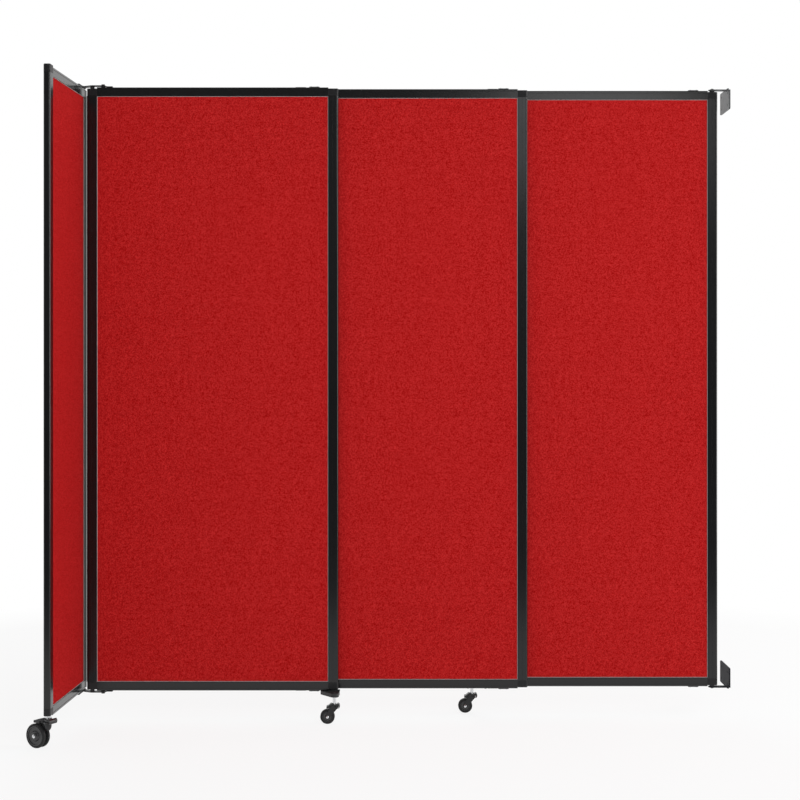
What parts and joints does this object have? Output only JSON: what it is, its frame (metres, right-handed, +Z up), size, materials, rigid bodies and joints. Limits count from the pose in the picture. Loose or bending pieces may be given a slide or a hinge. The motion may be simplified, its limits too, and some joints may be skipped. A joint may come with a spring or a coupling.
{
  "type": "sliding partition",
  "caption": "Telescoping fabric room divider: sliding panels on a wall pivot, a hinged end panel and braked swivel casters.",
  "frame": {"origin": "centre of the lower wall plate's hole pattern, on the face that lies against the wall", "axes": "+Z up, +X into the wall, so the panels run along -X into the room, and -Y is the side that the end panel folds to"},
  "size_m": [2.2419, 0.6282, 2.091],
  "materials": {
    "frame_black": "satin",
    "fabric_red": "matte",
    "cap_plastic": "satin",
    "plate_steel": "satin",
    "zinc": "satin",
    "nylon": "matte",
    "tyre_rubber": "matte",
    "hub_plastic": "satin",
    "brake_plastic": "satin",
    "fork_black": "satin"
  },
  "bodies": {
    "wall_mount": {"wall_bracket_top": "plate_steel", "wall_bracket_bottom": "plate_steel", "wall_pivot_pins": "zinc"},
    "panel_3": {"panel_3_left_post": "frame_black", "panel_3_right_post": "frame_black", "panel_3_top_rail": "frame_black", "panel_3_bottom_rail": "frame_black", "panel_3_fabric_board": "fabric_red", "panel_3_corner_caps": "cap_plastic", "panel_3_guide_plates": "plate_steel", "panel_3_guide_glides": "nylon", "panel_3_screws": "zinc", "rear_caster_arm": "plate_steel", "rear_caster_stem": "zinc"},
    "panel_2": {"panel_2_left_post": "frame_black", "panel_2_right_post": "frame_black", "panel_2_top_rail": "frame_black", "panel_2_bottom_rail": "frame_black", "panel_2_fabric_board": "fabric_red", "panel_2_corner_caps": "cap_plastic", "panel_2_guide_plates": "plate_steel", "panel_2_guide_glides": "nylon", "panel_2_screws": "zinc"},
    "panel_1": {"panel_1_left_post": "frame_black", "panel_1_right_post": "frame_black", "panel_1_top_rail": "frame_black", "panel_1_bottom_rail": "frame_black", "panel_1_fabric_board": "fabric_red", "panel_1_corner_caps": "cap_plastic", "panel_1_guide_plates": "plate_steel", "panel_1_guide_glides": "nylon", "panel_1_screws": "zinc", "hinge_plates": "plate_steel", "hinge_pins": "plate_steel", "front_caster_arm": "plate_steel", "front_caster_stem": "zinc"},
    "end_panel": {"end_panel_left_post": "frame_black", "end_panel_right_post": "frame_black", "end_panel_top_rail": "frame_black", "end_panel_bottom_rail": "frame_black", "end_panel_fabric_board": "fabric_red", "end_panel_corner_caps": "cap_plastic", "end_panel_hinge_plates": "plate_steel", "outer_caster_stem": "zinc"},
    "rear_caster_fork": {"rear_caster_fork": "fork_black", "rear_caster_axle": "zinc"},
    "rear_caster_wheel": {"rear_caster_wheel_hub": "hub_plastic", "rear_caster_tyre": "tyre_rubber"},
    "rear_caster_brake": {"rear_caster_brake_rocker": "brake_plastic"},
    "front_caster_fork": {"front_caster_fork": "fork_black", "front_caster_axle": "zinc"},
    "front_caster_wheel": {"front_caster_wheel_hub": "hub_plastic", "front_caster_tyre": "tyre_rubber"},
    "front_caster_brake": {"front_caster_brake_rocker": "brake_plastic"},
    "outer_caster_fork": {"outer_caster_fork": "fork_black", "outer_caster_axle": "zinc"},
    "outer_caster_wheel": {"outer_caster_wheel_hub": "hub_plastic", "outer_caster_tyre": "tyre_rubber"},
    "outer_caster_brake": {"outer_caster_brake_rocker": "brake_plastic"}
  },
  "joints": [
    {"name": "wall_swing", "type": "hinge", "parent": "wall_mount", "child": "panel_3", "pos_m": [-0.059, -0.0625, 0.966], "axis": [0, 0, 1], "range_deg": [-85, 20]},
    {"name": "slide_2", "type": "slide", "parent": "panel_3", "child": "panel_2", "axis": [1, 0, 0], "range_m": [0, 0.622]},
    {"name": "slide_1", "type": "slide", "parent": "panel_2", "child": "panel_1", "axis": [1, 0, 0], "range_m": [-0.01, 0.612]},
    {"name": "end_fold", "type": "hinge", "parent": "panel_1", "child": "end_panel", "pos_m": [-2.146, -0.109, 0.966], "axis": [0, 0, 1], "range_deg": [-190, 20]},
    {"name": "front_swivel", "type": "hinge", "parent": "panel_1", "child": "front_caster_fork", "pos_m": [-1.3115, -0.1805, -0.069], "axis": [0, 0, 1], "continuous": true},
    {"name": "front_roll", "type": "hinge", "parent": "front_caster_fork", "child": "front_caster_wheel", "pos_m": [-1.334, -0.1805, -0.0995], "axis": [0, 1, 0], "continuous": true},
    {"name": "front_brake", "type": "hinge", "parent": "front_caster_fork", "child": "front_caster_brake", "pos_m": [-1.3175, -0.1805, -0.0631], "axis": [0, -1, 0], "range_deg": [0, 11]},
    {"name": "rear_swivel", "type": "hinge", "parent": "panel_3", "child": "rear_caster_fork", "pos_m": [-0.8565, -0.0135, -0.069], "axis": [0, 0, 1], "continuous": true},
    {"name": "rear_roll", "type": "hinge", "parent": "rear_caster_fork", "child": "rear_caster_wheel", "pos_m": [-0.879, -0.0135, -0.0995], "axis": [0, 1, 0], "continuous": true},
    {"name": "rear_brake", "type": "hinge", "parent": "rear_caster_fork", "child": "rear_caster_brake", "pos_m": [-0.8625, -0.0135, -0.0631], "axis": [0, -1, 0], "range_deg": [0, 11]},
    {"name": "outer_swivel", "type": "hinge", "parent": "end_panel", "child": "outer_caster_fork", "pos_m": [-2.16866, -0.52739, -0.041], "axis": [0, 0, 1], "continuous": true},
    {"name": "outer_roll", "type": "hinge", "parent": "outer_caster_fork", "child": "outer_caster_wheel", "pos_m": [-2.2038, -0.50627, -0.0855], "axis": [0.515, 0.8572, 0], "continuous": true},
    {"name": "outer_brake", "type": "hinge", "parent": "outer_caster_fork", "child": "outer_caster_brake", "pos_m": [-2.1738, -0.5243, -0.0346], "axis": [-0.515, -0.8572, 0], "range_deg": [0, 5.5]}
  ]
}
